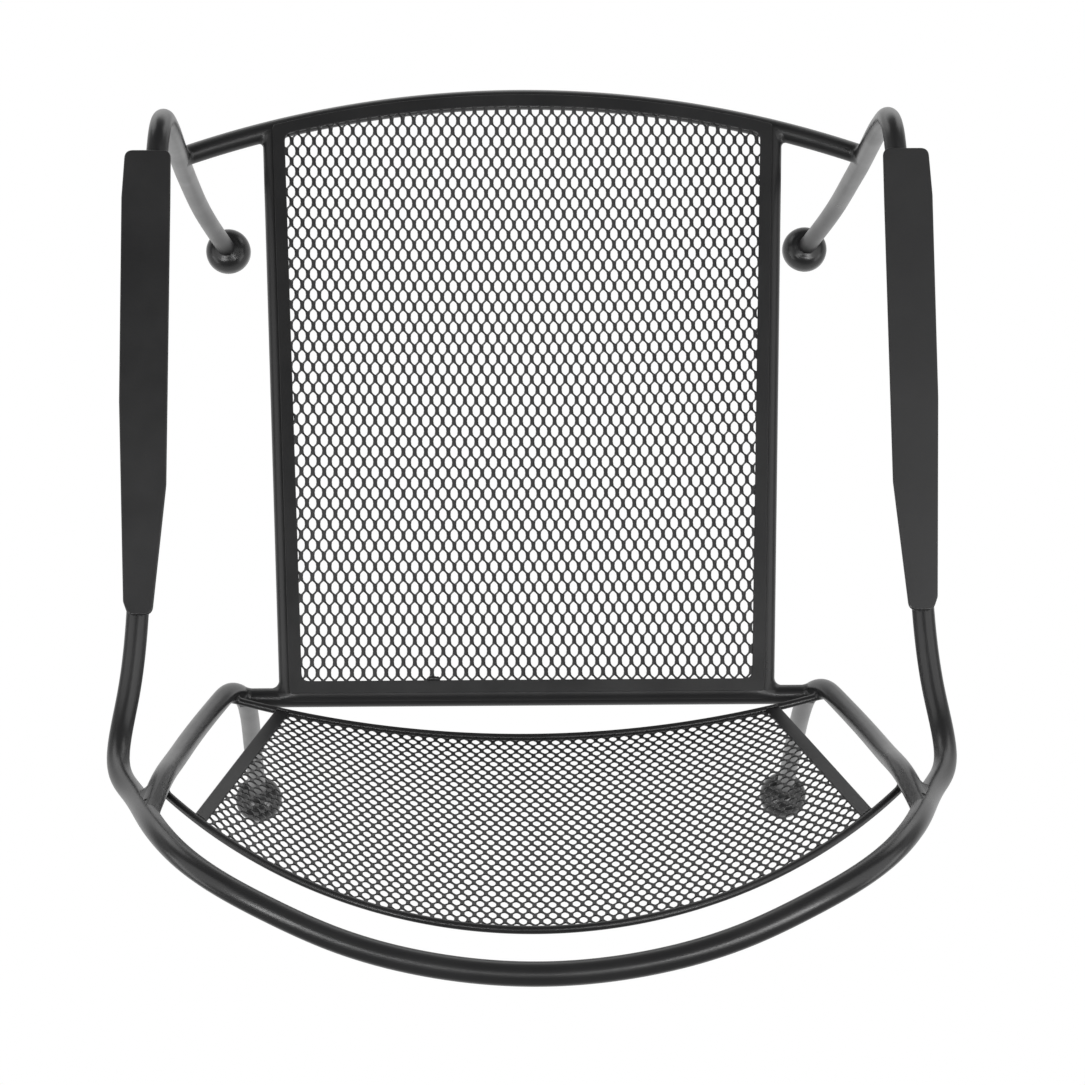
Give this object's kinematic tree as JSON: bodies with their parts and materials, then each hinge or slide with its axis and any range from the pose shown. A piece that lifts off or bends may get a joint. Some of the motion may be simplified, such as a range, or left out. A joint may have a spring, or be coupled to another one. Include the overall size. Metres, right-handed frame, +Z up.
{
  "type": "stacking garden armchair",
  "caption": "Rigid stacking garden armchair: welded black steel tube frame, expanded-metal seat and curved back, flat metal arm rests and round cup feet.",
  "frame": {"origin": "on the floor, under the middle of the chair's bounding box", "axes": "+Z up; -Y the way the sitter faces; +X the sitter's left, and the chair is symmetric about X = 0"},
  "size_m": [0.6334, 0.7702, 0.8665],
  "materials": {
    "powder_coat": "glossy black powder coat",
    "coated_expanded_metal": "glossy black powder coat on expanded metal",
    "black_nylon": "matte black nylon"
  },
  "bodies": {
    "root": {"hoop_frame": "powder_coat", "rear_leg_left": "powder_coat", "rear_leg_right": "powder_coat", "seat_front_bar": "powder_coat", "seat_rear_bar": "powder_coat", "seat_side_rail_left": "powder_coat", "seat_side_rail_right": "powder_coat", "seat_mesh": "coated_expanded_metal", "back_mesh": "coated_expanded_metal", "back_lower_rod": "powder_coat", "back_upper_rod": "powder_coat", "back_side_bar_left": "powder_coat", "back_side_bar_right": "powder_coat", "arm_plate_left": "powder_coat", "arm_plate_right": "powder_coat", "foot_cup_front_left": "powder_coat", "foot_cup_front_right": "powder_coat", "foot_cup_rear_left": "powder_coat", "foot_cup_rear_right": "powder_coat", "foot_glide_front_left": "black_nylon", "foot_glide_front_right": "black_nylon", "foot_glide_rear_left": "black_nylon", "foot_glide_rear_right": "black_nylon"}
  },
  "joints": []
}
